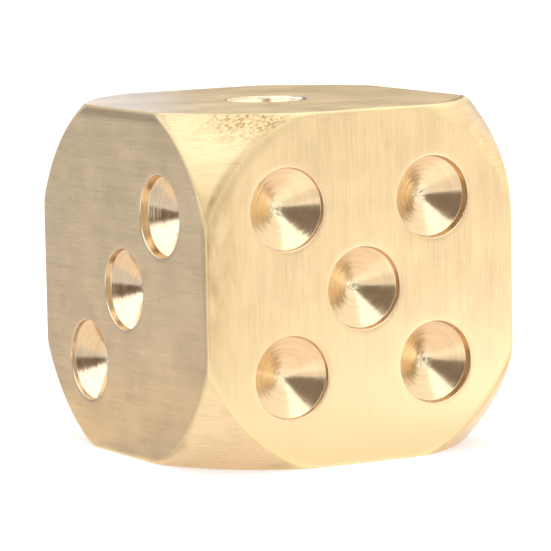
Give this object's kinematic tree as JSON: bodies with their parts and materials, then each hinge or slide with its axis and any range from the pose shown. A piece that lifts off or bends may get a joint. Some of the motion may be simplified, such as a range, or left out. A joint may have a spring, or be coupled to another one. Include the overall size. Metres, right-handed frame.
{
  "type": "casino die",
  "caption": "Solid brass gaming die: a cube with ball-cut corners and cone-bottomed pips drilled in every face.",
  "frame": {"origin": "centre of the cube", "axes": "+Z out of the face with one pip, +X out of the four, +Y out of the two; the five faces -Y and the three faces -X"},
  "size_m": [0.019, 0.019, 0.019],
  "materials": {
    "brass": "bare machined brass, fine brushed faces and bright drilled pips"
  },
  "bodies": {
    "root": {"die_body": "brass"}
  },
  "joints": []
}
